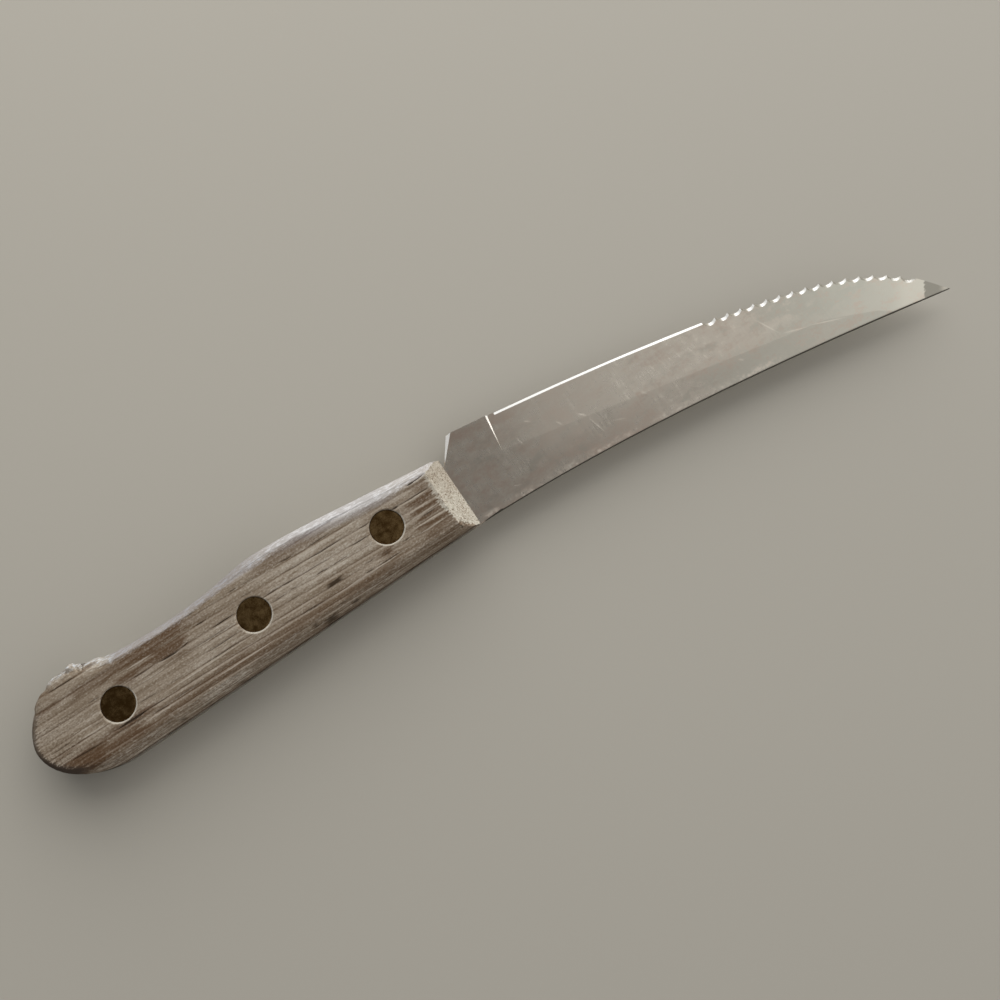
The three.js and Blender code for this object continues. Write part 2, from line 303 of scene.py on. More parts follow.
def largest_of(formula, shared, rows):
    """Largest value of a formula over rows of numbers. The formula is laid out once, as a node group."""
    nodes = shared[0].nodes
    kind = nodes.tree.bl_idname
    group = bpy.data.node_groups.new(formula.__name__, kind)
    count = len(shared) + len(rows[0])
    for i in range(count):
        group.interface.new_socket(f"number {i}", in_out="INPUT", socket_type="NodeSocketFloat")
    group.interface.new_socket("mask", in_out="OUTPUT", socket_type="NodeSocketFloat")
    inner = Nodes(group)
    given = group.nodes.new("NodeGroupInput").outputs[:count]
    mask = formula(*(Output(inner, socket) for socket in given))
    inner.feed(group.nodes.new("NodeGroupOutput").inputs[0], mask)
    group_kind = kind.replace("Tree", "Group")
    return largest(*(
        nodes.add(group_kind, dict(enumerate((*shared, *row))), node_tree=group) for row in rows))


def bent_line(x, start, bends):
    """A line that is level at first and takes on a further slope at each bend."""
    line = start
    for bend_x, slope in bends:
        line = line + largest(x - bend_x, 0.0) * slope
    return line


def coated(base, coats):
    """A colour under coats that are laid on in order, each as far as its mask says."""
    for mask, coat in coats:
        base = mask.mixed(base, coat)
    return base


def new_material(name):
    material = bpy.data.materials.new(name)
    material.use_nodes = True
    return material, Nodes(material.node_tree)


def object_place(nodes):
    """Place on the piece in millimetres."""
    return nodes.add("ShaderNodeTexCoord", out="Object").scaled(1 / MM)


def surface_normal(nodes):
    return nodes.add("ShaderNodeNewGeometry", out="Normal").parts()


# Modelling steps shared by the pieces

def select_only(piece):
    bpy.ops.object.select_all(action="DESELECT")
    piece.select_set(True)
    bpy.context.view_layer.objects.active = piece


@contextmanager
def edit_mode(piece):
    """Edit mode on one piece, with what is picked on its mesh selected."""
    select_only(piece)
    bpy.ops.object.mode_set(mode="EDIT")
    yield
    bpy.ops.object.mode_set(mode="OBJECT")


@contextmanager
def edit_whole(piece):
    """Edit mode on one piece, with its whole mesh selected."""
    with edit_mode(piece):
        bpy.ops.mesh.select_all(action="SELECT")
        yield


def clear_picks(piece, kind):
    """Deselects the whole mesh, so that vertices, edges or faces can be picked in code."""
    with edit_mode(piece):
        bpy.ops.mesh.select_mode(type=kind)
        bpy.ops.mesh.select_all(action="DESELECT")


def apply_modifier(piece, kind, **settings):
    select_only(piece)
    modifier = piece.modifiers.new(kind.lower(), kind)
    for name, value in settings.items():
        setattr(modifier, name, value)
    bpy.ops.object.modifier_apply(modifier=modifier.name)


def smooth(piece, angle):
    """Shades the piece smooth, apart from edges past an angle and those that are marked sharp."""
    select_only(piece)
    bpy.ops.object.shade_smooth_by_angle(angle=angle, keep_sharp_edges=True)


def merged_copy(node, name):
    """A piece of its own with the solid's shape, its loose triangles joined."""
    piece = bpy.data.objects.new(name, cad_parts[node].data.copy())
    bpy.context.scene.collection.objects.link(piece)
    with edit_whole(piece):
        bpy.ops.mesh.remove_doubles(threshold=MERGE_DISTANCE)
        bpy.ops.mesh.customdata_custom_splitnormals_clear()
    return piece


def settled(name):
    """The active object under a new name, with its place in its mesh."""
    bpy.ops.object.transform_apply(location=True, rotation=True, scale=True)
    piece = bpy.context.active_object
    piece.name = name
    return piece


def turned(name, centre, profile, sides=96):
    """A round solid: a disc that is raised step by step through each radius and height."""
    start_radius, start_height = profile[0]
    bpy.ops.object.select_all(action="DESELECT")
    bpy.ops.mesh.primitive_circle_add(
        vertices=sides, radius=start_radius, fill_type="NGON", enter_editmode=True,
        location=(centre.x, centre.y, start_height))
    for (radius_before, height_before), (radius, height) in zip(profile, profile[1:]):
        bpy.ops.mesh.extrude_region_move(TRANSFORM_OT_translate={"value": (0, 0, height - height_before)})
        growth = radius / radius_before
        bpy.ops.transform.resize(value=(growth, growth, 1), center_override=(centre.x, centre.y, height))
    bpy.ops.mesh.select_all(action="SELECT")
    bpy.ops.mesh.normals_make_consistent(inside=False)
    bpy.ops.object.mode_set(mode="OBJECT")
    return settled(name)


def copied(model, name, step):
    """A copy with a mesh of its own, moved by a step."""
    select_only(model)
    bpy.ops.object.duplicate(linked=False)
    bpy.ops.transform.translate(value=step)
    return settled(name)


def hand_over(piece, node, material):
    piece.data.materials.clear()
    piece.data.materials.append(material)
    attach(piece, "root")
    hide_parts(node)


def tang_middle():
    return (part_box("upper_scale")[0].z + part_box("lower_scale")[1].z) / 2


def handle_front():
    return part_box("upper_scale")[1].x


# Weathered wood. Marks are placed in millimetres in the knife's own frame.

# Cracks: x and y of the start, x and y of the end, half the width, depth
CHECKS = (
    (-106.6, 19.2, -103.9, 19.1, 0.22, 0.24),
    (-110.2, 16.8, -101.2, 16.5, 0.26, 0.28),
    (-103.4, 9.8, -99.2, 9.7, 0.22, 0.22),
    (-112.0, 10.2, -103.5, 9.8, 0.25, 0.10),
    (-116.2, 8.8, -110.2, 8.5, 0.25, 0.12),
    (-116.2, 4.7, -109.2, 4.6, 0.22, 0.20),
    (-105.2, 4.8, -101.8, 4.6, 0.30, 0.15),
    (-113.0, 1.1, -103.5, 0.7, 0.34, 0.30),
    (-105.0, 0.7, -89.5, 0.2, 0.28, 0.16),
    (-101.4, 1.3, -91.6, 1.3, 0.44, 0.48),
    (-94.0, 3.55, -88.2, 3.3, 0.22, 0.22),
    (-109.2, -2.9, -105.0, -4.2, 0.32, 0.20),
    (-106.0, -4.0, -103.0, -4.35, 0.22, 0.20),
    (-91.2, -3.85, -89.0, -3.65, 0.22, 0.24),
    (-92.5, 8.95, -86.5, 8.8, 0.26, 0.22),
    (-85.6, 8.75, -79.2, 8.6, 0.32, 0.42),
    (-79.8, 8.65, -76.8, 9.05, 0.26, 0.32),
    (-92.5, 7.6, -81.5, 7.5, 0.25, 0.12),
    (-78.4, 7.15, -65.8, 6.8, 0.21, 0.19),
    (-72.4, 8.7, -64.5, 8.55, 0.24, 0.36),
    (-77.0, 4.65, -65.6, 4.5, 0.22, 0.24),
    (-86.4, 3.4, -81.5, 3.2, 0.22, 0.14),
    (-78.5, 2.75, -64.6, 2.6, 0.20, 0.20),
    (-92.5, 1.25, -87.0, 1.2, 0.24, 0.20),
    (-86.5, 1.2, -75.5, 1.0, 0.26, 0.11),
    (-92.5, -0.15, -87.6, -0.45, 0.24, 0.24),
    (-88.4, -0.1, -77.5, -0.2, 0.26, 0.19),
    (-78.5, -0.3, -67.5, -0.5, 0.28, 0.14),
    (-84.5, -1.7, -69.5, -2.2, 0.32, 0.14),
    (-77.0, -3.3, -75.2, -3.2, 0.22, 0.22),
    (-73.4, -3.3, -71.6, -3.3, 0.24, 0.22),
    (-88.4, -4.4, -86.6, -4.9, 0.30, 0.18),
    (-83.8, -4.75, -79.3, -4.7, 0.26, 0.20),
    (-74.3, 11.2, -71.4, 11.05, 0.26, 0.28),
    (-75.7, 14.15, -72.3, 14.0, 0.24, 0.22),
    (-85.5, 11.6, -76.5, 11.45, 0.22, 0.15),
    (-64.4, 13.4, -61.6, 13.3, 0.22, 0.26),
    (-62.0, 13.25, -56.2, 12.95, 0.22, 0.18),
    (-51.4, 12.75, -47.4, 12.5, 0.25, 0.27),
    (-45.0, 12.3, -36.6, 12.05, 0.24, 0.26),
    (-62.7, 10.95, -59.3, 10.5, 0.26, 0.17),
    (-53.0, 10.35, -45.0, 9.8, 0.22, 0.17),
    (-47.0, 9.85, -35.0, 9.4, 0.22, 0.28),
    (-58.2, 8.15, -53.4, 8.05, 0.24, 0.26),
    (-54.6, 8.0, -49.4, 7.65, 0.24, 0.27),
    (-50.0, 7.6, -39.5, 7.25, 0.22, 0.13),
    (-36.4, 6.95, -30.2, 6.6, 0.24, 0.30),
    (-58.0, 6.05, -52.4, 5.85, 0.25, 0.18),
    (-52.6, 6.0, -50.0, 5.95, 0.23, 0.21),
    (-46.2, 5.75, -41.4, 5.5, 0.23, 0.28),
    (-42.6, 5.52, -36.2, 5.38, 0.20, 0.21),
    (-54.4, 4.05, -50.6, 4.0, 0.22, 0.15),
    (-58.6, 0.6, -53.0, 0.1, 0.25, 0.17),
    (-54.2, 0.07, -46.4, -0.27, 0.24, 0.25),
    (-36.4, -0.2, -33.4, -0.33, 0.27, 0.30),
    (-34.0, -0.35, -25.6, -0.6, 0.20, 0.27),
    (-46.3, -2.9, -41.8, -2.9, 0.22, 0.18),
    (-42.9, -4.05, -40.0, -3.9, 0.26, 0.30),
    (-46.2, -4.7, -42.2, -4.6, 0.23, 0.20),
    (-32.2, 9.2, -28.9, 9.05, 0.23, 0.28),
    (-23.5, 8.68, -21.2, 8.58, 0.38, 0.42),
    (-22.4, 8.55, -11.8, 8.35, 0.20, 0.25),
    (-17.6, 11.5, -15.0, 11.38, 0.34, 0.50),
    (-16.4, 11.38, -12.3, 11.65, 0.24, 0.36),
    (-35.4, 1.6, -32.0, 1.5, 0.26, 0.18),
    (-25.2, 1.18, -22.8, 1.02, 0.24, 0.28),
    (-18.8, 3.5, -14.2, 3.4, 0.27, 0.28),
)

# Ridges have the same columns, with a height instead of a depth
RIDGES = (
    (-93.0, 11.35, -84.5, 11.35, 0.28, 0.05),
    (-109.6, 5.5, -103.6, 5.4, 0.35, 0.04),
    (-109.0, 4.0, -100.6, 3.6, 0.30, 0.05),
    (-92.5, 7.05, -83.0, 7.0, 0.28, 0.04),
    (-91.0, 2.4, -65.0, 2.2, 0.28, 0.05),
    (-96.0, -0.8, -84.0, -0.8, 0.30, 0.05),
    (-79.0, -1.2, -58.0, -1.45, 0.26, 0.06),
    (-47.6, -0.5, -26.0, -0.85, 0.26, 0.06),
    (-21.5, 5.7, -14.0, 5.75, 0.26, 0.05),
    (-22.4, 4.1, -12.2, 4.05, 0.28, 0.06),
    (-22.4, 2.05, -12.2, 1.95, 0.28, 0.06),
    (-22.4, 0.4, -12.6, 0.35, 0.26, 0.05),
    (-22.0, 8.2, -12.2, 8.05, 0.24, 0.05),
    (-17.4, 10.95, -12.2, 11.2, 0.28, 0.05),
    (-62.0, 12.75, -52.0, 12.4, 0.28, 0.04),
    (-46.0, 5.1, -38.0, 4.95, 0.26, 0.04),
)

# Patches: left, right, low, high, strength
BROWN_PATCHES = (
    (-113.4, -98.0, 13.3, 14.2, 0.75),
    (-105.0, -91.0, 12.0, 14.5, 0.60),
    (-98.5, -90.5, 11.9, 13.7, 0.80),
    (-93.0, -76.2, 11.7, 14.3, 0.95),
    (-95.4, -84.6, 9.5, 10.9, 0.85),
    (-93.5, -86.0, 8.5, 9.3, 0.75),
    (-86.4, -77.2, 8.8, 11.6, 0.90),
    (-77.0, -71.8, 11.6, 14.1, 0.50),
    (-82.8, -77.6, 7.2, 8.3, 0.60),
    (-114.4, -108.8, 2.7, 3.7, 0.65),
    (-113.4, -101.0, 0.1, 1.7, 0.95),
    (-102.8, -90.0, 0.4, 2.0, 0.90),
    (-113.0, -103.0, -3.0, 0.8, 1.00),
    (-106.0, -94.0, -2.7, -0.1, 0.85),
    (-92.5, -66.0, -2.4, 0.4, 0.50),
    (-66.0, -45.5, -3.0, 0.2, 0.45),
    (-46.0, -26.5, -3.2, -0.8, 0.40),
    (-57.2, -39.4, 12.6, 15.5, 0.50),
    (-30.3, -27.8, 0.4, 1.7, 0.85),
    (-40.4, -38.6, -3.1, -2.0, 0.65),
    (-19.6, -12.6, 5.9, 7.9, 0.90),
    (-19.6, -12.7, 4.4, 5.5, 0.90),
    (-19.4, -12.5, 2.4, 3.7, 0.90),
    (-19.6, -12.3, 0.6, 1.8, 0.85),
    (-19.0, -12.4, -1.0, 0.2, 0.65),
    (-16.9, -12.8, 8.7, 10.8, 0.60),
    (-23.0, -11.6, -2.6, -1.2, 0.35),
)

STAINS = (
    (-44.8, -40.9, 1.5, 2.5, 1.00),
    (-52.4, -50.8, -4.1, -3.2, 0.85),
    (-50.2, -46.0, -4.9, -3.6, 0.75),
    (-42.6, -40.2, -4.3, -3.6, 0.70),
    (-40.2, -38.8, -3.0, -2.0, 0.50),
    (-30.4, -28.2, 0.4, 1.6, 0.55),
    (-88.8, -86.2, -5.1, -4.2, 0.60),
    (-83.6, -79.6, -5.0, -4.4, 0.50),
    (-73.8, -70.6, -5.3, -4.4, 0.60),
    (-62.0, -57.0, -5.2, -4.6, 0.45),
)

BLEACHED_PATCHES = (
    (-109.4, -103.6, 17.8, 19.0, 0.90),
    (-104.0, -101.1, 18.2, 20.0, 1.00),
    (-99.8, -94.8, 15.7, 18.6, 1.00),
    (-56.0, -29.0, 3.4, 11.6, 0.45),
    (-78.0, -58.0, 2.2, 8.0, 0.40),
    (-76.2, -72.4, 12.4, 13.8, 0.45),
    (-67.0, -55.0, -4.4, -2.8, 0.70),
    (-38.0, -29.0, -4.6, -3.2, 0.60),
    (-91.0, -83.0, -3.4, -2.2, 0.60),
    (-108.0, -90.0, -5.6, -3.3, 0.70),
    (-82.0, -70.0, -5.0, -2.9, 0.90),
)

Chip = namedtuple("Chip", "centre reach depth")

CHIPS = (
    Chip((-100.7, 18.8, 11.5), (1.0, 2.2, 5.5), 1.3),
    Chip((-97.4, 19.2, 14.8), (2.6, 1.4, 2.4), 0.5),
    Chip((-14.2, 14.2, 13.6), (2.4, 1.0, 2.0), 0.25),
    Chip((-9.6, -4.6, 14.2), (4.2, 3.6, 3.6), 0.9),
)
TUFTS = (
    Chip((-102.6, 19.0, 12.4), (1.5, 1.3, 3.0), 0.65),
    Chip((-106.8, 18.4, 12.2), (3.6, 1.6, 3.6), 0.45),
    Chip((-111.6, 16.2, 11.8), (3.6, 2.4, 4.4), 0.45),
    Chip((-97.6, 17.4, 12.2), (2.4, 1.4, 3.4), 0.45),
)
CRUMBLING = Chip((-101.5, 19.6, 12.5), (9.0, 3.0, 4.5), 0.55)

# Growth lines: where their count starts on the edge side, how it grows, and how they slope and lean
LINE_TOP = 13.36
LINE_RATE = 0.4065
LINE_CROWDING = 0.00654
LINE_SPACING = 2.0
LINE_BEND_X = -70.0
REAR_SLOPE = -0.02
FRONT_SLOPE = -0.047
LINE_LEAN = 0.6
LINE_LEAN_FROM = 14.2

# Depth at which a crack is full of dirt, and the share of its depth that is cut into the wood
FULL_DIRT = 0.42
CRACK_SHARE = 0.7
RIDGE_HEIGHT = 0.05
HANDLE_MIDDLE = -63.0
BORE_MARGIN = 0.2 * MM
CUTTER_OVERRUN = 1 * MM
WOOD_SMOOTHING = math.radians(50)

# Where the bleached edge side starts, painted whiter there as a highlight too, and where the front's end
# grain starts
SUN_LINE_START = 18.2
SUN_LINE_BENDS = (
    (-101.0, -0.55), (-94.0, 0.53), (-75.0, 0.08), (-60.0, -0.025),
    (-45.0, -0.22), (-30.0, 0.055), (-20.0, 0.09))
FRONT_LINE = -13.3
FRONT_LINE_MIDDLE = 3.3
FRONT_SPINE_CORNER = -1.0
FRONT_EDGE_CORNER = 11.2


def wood_course(place):
    """Place across the growth lines, counted from the edge side, where they lie farther apart."""
    x, y, z = place.parts()
    from_bend = x - LINE_BEND_X
    drop = largest(from_bend, 0.0) * (FRONT_SLOPE - REAR_SLOPE) + from_bend * REAR_SLOPE
    slanted = y - drop + (z - LINE_LEAN_FROM) * LINE_LEAN
    wander = place.noise((45, 12, 12), 1.0, detail=1.0) - 0.5
    past_top = LINE_TOP - (slanted + wander * 0.5)
    return past_top * (past_top * LINE_CROWDING + LINE_RATE)


def growth_lines(place):
    """How far a place is past the nearest growth line, how strong the line is, and its band's tone."""
    course = wood_course(place)
    nearest = place.nodes.add(
        "ShaderNodeTexVoronoi", {"W": course, "Scale": 1.0, "Randomness": 0.15},
        out="W", voronoi_dimensions="1D")
    past = (course - nearest) * LINE_SPACING
    strength = place.noise((22, 1.5, 1.5), 4.0).fade(0.38, 0.68)
    tone = nearest.beside("Color").parts()[0]
    return past, strength, tone


def marks_along(x, z):
    """Place along the grain for the marks, which run the other way round on the lower scale."""
    upper = (z - tang_middle() / MM).fade(-0.2, 0.2)
    return upper.between(2 * HANDLE_MIDDLE - x, x)


def marks_rag(place):
    """Unevenness of the patches' edges."""
    return (place.noise((5, 0.7, 0.7), 7.0, detail=3.0) - 0.5) * 3.0


def marks_wobble(place):
    """Unevenness of the cracks' and ridges' course."""
    return (place.noise((2.5, 40, 40), 9.0) - 0.5) * 0.35


def check_mask(x, y, wobble, start_x, start_y, end_x, end_y, half_width, depth):
    """Depth of a crack that is widest halfway along."""
    along = x.line(start_x, end_x, -1.0, 1.0)
    taper = 1.0 - along * along
    middle = x.line(start_x, end_x, start_y, end_y) + wobble
    inside = taper * half_width - abs(y - middle)
    return inside.fade(0.0, half_width * 0.8) * depth


def patch_mask(x, y, rag, left, right, low, high, strength):
    """A patch with streaky edges along the grain and firm ones across it."""
    from_ends = (x - left).math("MINIMUM", right - x)
    from_sides = (y - low).math("MINIMUM", high - y)
    inside = (from_ends * 0.28).math("MINIMUM", from_sides * 1.3)
    return (inside - rag).fade(-0.5, 0.6) * strength


def chip_depth(place, rag, chip):
    """How deep a chip is, with its full depth only near its centre."""
    stretched = place.vector_math("SUBTRACT", chip.centre).vector_math("DIVIDE", chip.reach)
    distance = stretched.vector_math("LENGTH", out="Value")
    return (distance + rag * 0.25).fade(1.0, 0.35) * chip.depth


def bore_rim_highlight(x, y, rivet):
    """Painted highlight on the worn rim of a rivet's bore, strongest on the spine side, where the bore's
    wall faces the lamp.
    """
    centre = rivet_centre(rivet) / MM
    from_x, from_y = x - centre.x, y - centre.y
    radius = (from_x * from_x + from_y * from_y).math("SQRT")
    rim = abs(radius - (head_radius() / MM + 0.18)).fade(0.34, 0.1)
    return rim * (from_x * 0.4 - from_y).fade(-1.5, 3.0)


def relief_tree(wood):
    """Geometry nodes that wear the wood down and note where the marks are."""
    tree = bpy.data.node_groups.new("wood_relief", "GeometryNodeTree")
    for way in ("INPUT", "OUTPUT"):
        tree.interface.new_socket("Geometry", in_out=way, socket_type="NodeSocketGeometry")
    nodes = Nodes(tree)
    mesh = nodes.add("NodeGroupInput")
    position = nodes.add("GeometryNodeInputPosition")
    place = position.scaled(1 / MM)
    normal = nodes.add("GeometryNodeInputNormal")
    facing_x, facing_y, facing_z = normal.parts()
    x, y, z = place.parts()
    above_tang = z - tang_middle() / MM
    outside = (above_tang * facing_z).fade(-1.5, -0.6)
    lengthwise = abs(facing_x).fade(0.5, 0.2)
    sideways = abs(facing_y).fade(0.4, 0.8)
    mark_x = marks_along(x, z)
    rag = marks_rag(place)
    marks = (mark_x, y, marks_wobble(place))

    past, strength, _ = growth_lines(place)
    groove = abs(past).fade(0.3, 0.04) * (0.25 + strength * 0.75)
    swell = abs(past).fade(0.95, 0.1)
    hollow = place.noise((16, 4, 4), 11.0, detail=1.0)
    fuzz = place.noise((6, 0.5, 0.5), 13.0)
    cracks = largest_of(check_mask, marks, CHECKS) * CRACK_SHARE
    worn = groove * (wood.groove_depth / MM) + cracks
    worn = worn + fuzz * (wood.fuzz_depth / MM)
    worn = worn + swell * (wood.swell_depth / MM)
    worn = worn - largest_of(check_mask, marks, RIDGES)
    depth = worn * lengthwise + hollow * (wood.hollow_depth / MM)
    depth = depth + largest(*(chip_depth(place, rag, chip) for chip in CHIPS))
    tufts = largest(*(chip_depth(place, rag, tuft) for tuft in TUFTS))
    depth = depth - tufts * abs(facing_z).fade(0.9, 0.5)
    crumbs = place.noise((1.8, 1.1, 1.1), 15.0).fade(0.45, 0.65)
    depth = depth + chip_depth(place, rag, CRUMBLING) * crumbs
    depth = depth - facing_y.fade(0.3, 0.8) * (wood.edge_fuzz / MM)
    shrunk = abs(above_tang).fade(2.4, 0.9) * sideways
    depth = depth + shrunk * (wood.shrinkage / MM)

    # Dirt and painted shade in the joint beside the tang, reaching farther up the upper scale's spine-side
    # wall
    shaded_wall = above_tang.fade(-0.2, 0.2) * facing_y.fade(0.2, -0.2)
    joint_dirt_and_shade = abs(above_tang) + rag * 0.2 - shaded_wall.between(1.3, 2.9)
    notes = {"joint_dirt_and_shade": joint_dirt_and_shade.fade(0.3, -0.6) * sideways}
    for note, patches in (("brown", BROWN_PATCHES), ("bleach", BLEACHED_PATCHES)):
        notes[note] = largest_of(patch_mask, (mark_x, y, rag), patches)
    for note, value in notes.items():
        feeds = {"Geometry": mesh, "Name": note, "Value": value}
        mesh = nodes.add("GeometryNodeStoreNamedAttribute", feeds, data_type="FLOAT", domain="POINT")
    inward = normal.scaled((depth + wood.skin / MM) * outside * -MM)
    held = position.vector_math("ADD", inward).vector_math("MINIMUM", cad_box[1])
    moved = nodes.add("GeometryNodeSetPosition", {"Geometry": mesh, "Position": held})
    nodes.feed(tree.nodes.new("NodeGroupOutput").inputs[0], moved)
    return tree


def close_bores(piece, bore_radius):
    """Takes out the rivet bores and closes the flats over them."""
    centres = [rivet_centre(rivet) for rivet in RIVET_PLACES]

    def in_bore(vertex):
        return any((vertex.co.xy - centre.xy).length < bore_radius for centre in centres)

    clear_picks(piece, "FACE")
    mesh = piece.data
    inside = [in_bore(vertex) for vertex in mesh.vertices]
    for face in mesh.polygons:
        face.select = all(inside[i] for i in face.vertices)
    with edit_mode(piece):
        bpy.ops.mesh.delete(type="FACE")
    with edit_whole(piece):
        bpy.ops.mesh.fill_holes(sides=0)
        bpy.ops.mesh.normals_make_consistent(inside=False)


def stretch(piece, along, across):
    with edit_whole(piece):
        bpy.ops.transform.resize(value=(along, across, across), center_override=(0, 0, 0))


def remesh_along_grain(piece, wood):
    """Gives the piece an even mesh whose quads are longer along the grain than across it."""
    squeeze = wood.across_step / wood.along_step
    stretch(piece, squeeze / MM, 1 / MM)
    piece.data.remesh_voxel_size = wood.across_step / MM
    bpy.ops.object.voxel_remesh()
    stretch(piece, MM / squeeze, MM)


def drill(piece, rivets, outer, inner):
    """Bores for the three rivets, with a worn lip at the outer face."""
    up = math.copysign(1, outer - inner)
    head = head_radius() + rivets.bore_clearance
    tube = rivets.tube_diameter / 2 + rivets.bore_clearance
    recess = abs(outer - head_face(outer))
    seat = outer - up * (recess + rivets.head_height)
    for rivet in RIVET_PLACES:
        cutter = turned("cutter", rivet_centre(rivet), (
            (tube, inner - up * CUTTER_OVERRUN),
            (tube, seat),
            (head, seat),
            (head, outer - up * rivets.lip),
            (head + rivets.lip, outer),
            (head + rivets.lip, outer + up * CUTTER_OVERRUN),
        ))
        apply_modifier(piece, "BOOLEAN", object=cutter, operation="DIFFERENCE", solver="MANIFOLD")
        bpy.data.objects.remove(cutter)


def front_line(y):
    """Where along x the end grain starts. The line swings forward at both rounded edges."""
    spine_side = largest(FRONT_SPINE_CORNER - y, 0.0).math("POWER", 1.6)
    edge_side = largest(y - FRONT_EDGE_CORNER, 0.0)
    corners = spine_side * 0.4 + edge_side * 1.6
    from_middle = y - FRONT_LINE_MIDDLE
    bow = largest(from_middle * 0.06, from_middle * -0.24)
    return corners + bow + FRONT_LINE


def weathered_wood(wood):
    """Bleached, worn wood with brown patches, dirt in its cracks and speckled end grain, and painted
    highlight and shade on its grooves, bore rims, edge side, butt and joint beside the tang.
    """
    material, nodes = new_material("weathered_wood")
    place = object_place(nodes)
    x, y, z = place.parts()
    facing_x, _, _ = surface_normal(nodes)
    joint_dirt_and_shade, brown, bleach = (
        nodes.add("ShaderNodeAttribute", out="Fac", attribute_name=note)
        for note in ("joint_dirt_and_shade", "brown", "bleach"))
    mark_x = marks_along(x, z)
    marks = (mark_x, y, marks_wobble(place))
    stain = largest_of(patch_mask, (mark_x, y, marks_rag(place) * 0.22), STAINS).fade(0.2, 0.85)
    crack = largest_of(check_mask, marks, CHECKS).fade(0.0, FULL_DIRT)
    ridge = largest_of(check_mask, marks, RIDGES).fade(0.0, RIDGE_HEIGHT)
    # Painted highlight on the rim of each bore
    rim = largest(*(bore_rim_highlight(x, y, rivet) for rivet in RIVET_PLACES))
    past, strength, tone = growth_lines(place)
    # Painted shade in each growth line's groove, and painted highlight on the groove's lit side
    groove_shade = abs(past).fade(0.24, 0.05) * (0.25 + strength * 0.75)
    groove_highlight = abs(past - 0.42).fade(0.34, 0.08) * (0.2 + strength * 0.8)
    groove_highlight = groove_highlight * brown.between(0.6, 0.25)
    streak = place.noise((30, 0.5, 0.5), 1.0, detail=3.0, roughness=0.6) - 0.5
    mottle = place.noise((12, 3, 3), 2.0, detail=4.0, roughness=0.6) - 0.5
    speckle = place.noise((0.55, 0.38, 0.38), 3.0, roughness=0.6) - 0.5
    flake = place.noise((1.8, 0.5, 0.5), 5.0, detail=4.0, roughness=0.7).fade(0.48, 0.62)
    pores = place.noise((0.9, 0.45, 0.5), 4.0, detail=1.0).fade(0.6, 0.7)

    # Wood between the marks
    # Toward the spine side the wood turns darker, and browner in blotches
    spine_side = y.fade(4.0, -4.0)
    paleness = mottle + streak * 0.9 + (tone - 0.5) * 0.2
    paleness = paleness + (speckle * 1.3 + bleach * 0.35) - spine_side * 0.1
    spine_blotches = (mottle * 1.2 + speckle * 0.6).fade(0.25, -0.3)
    kept = (streak * 0.7 + speckle).fade(0.75, -0.2)
    salt = (speckle + (flake - 0.5) * 0.15).fade(0.04, 0.3) * spine_side.between(0.28, 0.2)

    # Frost along the edge side: sun-bleached fuzz, and a painted highlight where the edge side faces the
    # lamp
    past_sun_line = y - bent_line(x, SUN_LINE_START, SUN_LINE_BENDS) + (streak + (speckle + mottle)) * 1.1
    sunned_and_lit = past_sun_line.fade(-0.3, 1.1)
    inner_band = past_sun_line.fade(-1.7, -0.2) * (x.fade(-54.0, -42.0) * x.fade(-18.0, -26.0))
    beak = x.fade(-92.0, -96.0)
    frost = beak.between(0.5, 0.15) + flake * beak.between(0.5, 0.85)
    frost_shade = beak.mixed(x.fade(-66.0, -42.0).mixed(wood.greyed, wood.white), wood.chalk)

    # End grain at the front and the butt; the butt's end grain is dirty and carries painted shade where it
    # turns away from the light
    end_grain = coated(wood.cream, (
        ((speckle + mottle).fade(0.1, -0.4), wood.beige),
        ((speckle + streak * 0.5).fade(-0.05, 0.25), wood.pale_cream),
        (y.fade(1.0, 11.0) * 0.33, wood.beige),
        (pores * 0.75, wood.brown),
    ))
    past_front = x - front_line(y) + (streak * 2.2 + speckle * 1.2)
    # Dirt and painted shade on faces of the butt turned away from the light
    butt = (facing_x + (streak + speckle) * 0.5).fade(0.0, -0.22) * x.fade(-104.0, -112.0)
    butt = butt * (y.fade(15.5, 12.5) * y.fade(-3.5, -1.5))
    butt = butt * y.fade(9.0, 3.0).between(0.55, 0.95)

    wooden = coated(wood.beige, (
        (paleness.fade(-0.2, 0.85), wood.bleached),
        (paleness.fade(-0.05, -0.6) * 0.6, wood.brown),
        (spine_side * (spine_blotches * 0.52), wood.brown),
        (flake * bleach * 0.55, wood.pale_cream),
        (brown * kept, wood.brown),
        # Painted shade in the grooves
        (groove_shade * 0.5, wood.brown),
        # Pale ridges, and painted highlight on the lit side of each groove
        (largest(ridge, groove_highlight) * 0.6, wood.bleached),
        (salt * (1.0 - brown * 0.8), wood.pale_cream),
        (inner_band * 0.38, wood.greyed),
        # Sun-bleached frost with painted highlight on the edge side
        (sunned_and_lit * frost, frost_shade),
        (stain * 0.95, wood.soot),
        (past_front.fade(-0.3, 0.3), end_grain),
        # Dirty end grain with painted shade at the butt
        (butt, wood.butt),
        # Painted highlight on the bore rims
        (rim * (0.8 + speckle), wood.pale_cream),
        # Dirt in the cracks, and dirt with painted shade in the joint beside the tang
        (largest(crack, joint_dirt_and_shade) * 0.8, wood.soot),
    ))
    relief = (streak * 0.5 + speckle * 0.8) * (1.0 + sunned_and_lit * 0.6)
    nodes.feed_shader("Principled BSDF", {
        "Base Color": wooden,
        "Roughness": 0.85,
        "Specular IOR Level": 0.2,
        "Normal": relief.bump(0.5, 0.06),
    })
    return material


